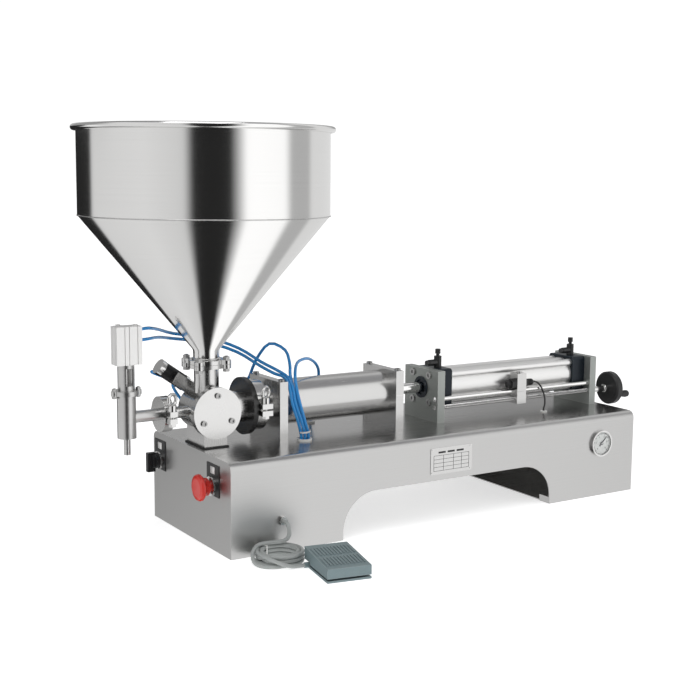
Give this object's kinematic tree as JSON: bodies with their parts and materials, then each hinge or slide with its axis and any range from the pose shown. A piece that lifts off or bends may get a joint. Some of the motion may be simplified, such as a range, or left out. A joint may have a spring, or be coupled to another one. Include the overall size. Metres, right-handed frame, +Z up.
{
  "type": "piston liquid filler",
  "caption": "Bench-top pneumatic piston filler: stainless base, conical hopper, rotary valve, product and air cylinders, stroke adjuster, shut-off nozzle and foot switch.",
  "frame": {"origin": "on the floor under the middle of the base, which is the centre of the four bench fixing holes", "axes": "+X along the machine from the nozzle end to the handwheel end, +Y to the rear, away from the foot switch, +Z up"},
  "size_m": [1.028, 0.5045, 0.626],
  "materials": {
    "base_shell": "fine brushed stainless sheet",
    "end_panels": "fine brushed stainless sheet",
    "bottom_plates": "plain stainless sheet",
    "nameplate": "satin plate with ruled blank cells",
    "gauge_case": "polished case",
    "gauge_needle": "matt black",
    "gauge_glass": "clear",
    "cable_gland": "nickel plated",
    "hose_grommets": "white plastic",
    "legend_plates": "black with blank white label",
    "switch_collars": "satin chrome",
    "selector_knob": "black",
    "estop_plunger": "red",
    "estop_head": "red",
    "valve_gasket": "black sheet",
    "valve_mount": "machined",
    "valve_body": "turned and polished",
    "valve_cover": "turned face",
    "valve_rotor": "ground",
    "actuator_bracket": "plain plate",
    "actuator_barrel": "black anodised",
    "actuator_end_caps": "satin",
    "actuator_rod": "ground",
    "hopper": "mirror polished stainless",
    "flange_bolts": "hexagon bolts",
    "outlet_clamp": "cast and polished stainless",
    "outlet_wing_nut": "cast stainless",
    "nozzle_tube": "turned",
    "nozzle_yoke": "turned",
    "nozzle_cylinder": "clear anodised",
    "nozzle_plug_rod": "ground",
    "inlet_flange": "turned",
    "inlet_clamp": "cast and polished stainless",
    "inlet_wing_nut": "cast stainless",
    "cylinder_head": "turned",
    "product_cylinder": "brushed along the tube",
    "lower_clamp_plates": "milled",
    "upper_clamp_plates": "milled",
    "socket_screws": "socket head screws",
    "product_piston": "white food-grade plastic with lip grooves",
    "piston_rod": "hard chrome",
    "air_mount_plates": "milled",
    "air_cylinder_caps": "dark navy",
    "air_cylinder_barrel": "clear anodised profile",
    "guide_rod": "ground",
    "lead_screw": "threaded",
    "handwheel": "black",
    "crank_knob": "black",
    "sensor_bracket": "milled",
    "limit_sensor": "black",
    "sensor_cable": "black sheath",
    "speed_controllers": "black with bright elbow",
    "speed_knob_front": "black",
    "speed_knob_rear": "black",
    "air_tubes": "blue polyurethane",
    "pedal_base": "grey-blue paint",
    "pedal_tread": "grey-blue paint on ribbed casting",
    "pedal_cord": "grey sheath",
    "pedal_cord_coil": "grey sheath",
    "solenoid_valves": "black"
  },
  "bodies": {
    "frame": {"base_shell": "base_shell", "end_panels": "end_panels", "bottom_plates": "bottom_plates", "nameplate": "nameplate", "gauge_case": "gauge_case", "gauge_glass": "gauge_glass", "cable_gland": "cable_gland", "hose_grommets": "hose_grommets", "legend_plates": "legend_plates", "switch_collars": "switch_collars", "valve_gasket": "valve_gasket", "valve_mount": "valve_mount", "valve_body": "valve_body", "valve_cover": "valve_cover", "actuator_bracket": "actuator_bracket", "actuator_barrel": "actuator_barrel", "actuator_end_caps": "actuator_end_caps", "hopper": "hopper", "flange_bolts": "flange_bolts", "outlet_clamp": "outlet_clamp", "nozzle_tube": "nozzle_tube", "nozzle_yoke": "nozzle_yoke", "nozzle_cylinder": "nozzle_cylinder", "inlet_flange": "inlet_flange", "inlet_clamp": "inlet_clamp", "cylinder_head": "cylinder_head", "product_cylinder": "product_cylinder", "lower_clamp_plates": "lower_clamp_plates", "upper_clamp_plates": "upper_clamp_plates", "socket_screws": "socket_screws", "air_mount_plates": "air_mount_plates", "air_cylinder_caps": "air_cylinder_caps", "air_cylinder_barrel": "air_cylinder_barrel", "guide_rod": "guide_rod", "sensor_cable": "sensor_cable", "speed_controllers": "speed_controllers", "air_tubes": "air_tubes", "pedal_base": "pedal_base", "pedal_cord": "pedal_cord", "pedal_cord_coil": "pedal_cord_coil", "solenoid_valves": "solenoid_valves"},
    "piston_train": {"product_piston": "product_piston", "piston_rod": "piston_rod"},
    "rotor": {"valve_rotor": "valve_rotor"},
    "actuator_slider": {"actuator_rod": "actuator_rod"},
    "nozzle_plug": {"nozzle_plug_rod": "nozzle_plug_rod"},
    "estop_stem": {"estop_plunger": "estop_plunger"},
    "estop_cap": {"estop_head": "estop_head"},
    "selector": {"selector_knob": "selector_knob"},
    "gauge_pointer": {"gauge_needle": "gauge_needle"},
    "stroke_adjuster": {"sensor_bracket": "sensor_bracket", "limit_sensor": "limit_sensor"},
    "adjusting_screw": {"lead_screw": "lead_screw", "handwheel": "handwheel"},
    "crank": {"crank_knob": "crank_knob"},
    "outlet_nut": {"outlet_wing_nut": "outlet_wing_nut"},
    "inlet_nut": {"inlet_wing_nut": "inlet_wing_nut"},
    "front_flow_knob": {"speed_knob_front": "speed_knob_front"},
    "rear_flow_knob": {"speed_knob_rear": "speed_knob_rear"},
    "tread": {"pedal_tread": "pedal_tread"}
  },
  "joints": [
    {"name": "piston_slide", "type": "slide", "parent": "frame", "child": "piston_train", "axis": [1, 0, 0], "range_m": [0, 0.18]},
    {"name": "rotor_turn", "type": "hinge", "parent": "frame", "child": "rotor", "pos_m": [-0.371, 0, 0.1975], "axis": [0, 1, 0], "range_deg": [0, 90]},
    {"name": "actuator_slide", "type": "slide", "parent": "frame", "child": "actuator_slider", "axis": [0.8192, 0, -0.5736], "range_m": [-0.0001, 0.0341]},
    {"name": "plug_slide", "type": "slide", "parent": "frame", "child": "nozzle_plug", "axis": [0, 0, 1], "range_m": [0, 0.012]},
    {"name": "estop_push", "type": "slide", "parent": "frame", "child": "estop_stem", "axis": [1, 0, 0], "range_m": [0, 0.004]},
    {"name": "estop_twist", "type": "hinge", "parent": "estop_stem", "child": "estop_cap", "pos_m": [-0.42, -0.081, 0.099], "axis": [-1, 0, 0], "range_deg": [0, 30]},
    {"name": "selector_turn", "type": "hinge", "parent": "frame", "child": "selector", "pos_m": [-0.41, 0.11, 0.099], "axis": [-1, 0, 0], "range_deg": [-45, 45]},
    {"name": "needle_turn", "type": "hinge", "parent": "frame", "child": "gauge_pointer", "pos_m": [0.322, -0.1403, 0.0935], "axis": [0, 1, 0], "range_deg": [-180, 90]},
    {"name": "adjuster_slide", "type": "slide", "parent": "frame", "child": "stroke_adjuster", "axis": [1, 0, 0], "range_m": [-0.1, 0.1], "deforming": ["sensor_cable"]},
    {"name": "handwheel_turn", "type": "hinge", "parent": "frame", "child": "adjusting_screw", "pos_m": [0.43, -0.0395, 0.1675], "axis": [1, 0, 0], "range_deg": [-4501, 4501]},
    {"name": "crank_spin", "type": "hinge", "parent": "adjusting_screw", "child": "crank", "pos_m": [0.451, -0.0595, 0.1575], "axis": [1, 0, 0], "continuous": true},
    {"name": "outlet_nut_turn", "type": "hinge", "parent": "frame", "child": "outlet_nut", "pos_m": [-0.4435, -0.0336, 0.2115], "axis": [0, 0, 1], "range_deg": [-180, 180]},
    {"name": "inlet_nut_turn", "type": "hinge", "parent": "frame", "child": "inlet_nut", "pos_m": [-0.2935, -0.047, 0.2115], "axis": [0, 0, 1], "range_deg": [-180, 180]},
    {"name": "front_flow_turn", "type": "hinge", "parent": "frame", "child": "front_flow_knob", "pos_m": [0.061, -0.008, 0.258], "axis": [0, 0, 1], "range_deg": [-720, 720]},
    {"name": "rear_flow_turn", "type": "hinge", "parent": "frame", "child": "rear_flow_knob", "pos_m": [0.362, -0.008, 0.258], "axis": [0, 0, 1], "range_deg": [-720, 720]},
    {"name": "tread_press", "type": "hinge", "parent": "frame", "child": "tread", "pos_m": [-0.28675, -0.22255, 0.01], "axis": [0.9848, -0.1736, 0], "range_deg": [0, 2], "stiffness_Nm_per_rad": 8, "springref_deg": -2.86}
  ],
  "couplings": [
    {"joint": "actuator_slide", "follows": "rotor_turn", "m_per_rad": 0.021608},
    {"joint": "handwheel_turn", "follows": "adjuster_slide", "rad_per_m": 785.4}
  ]
}
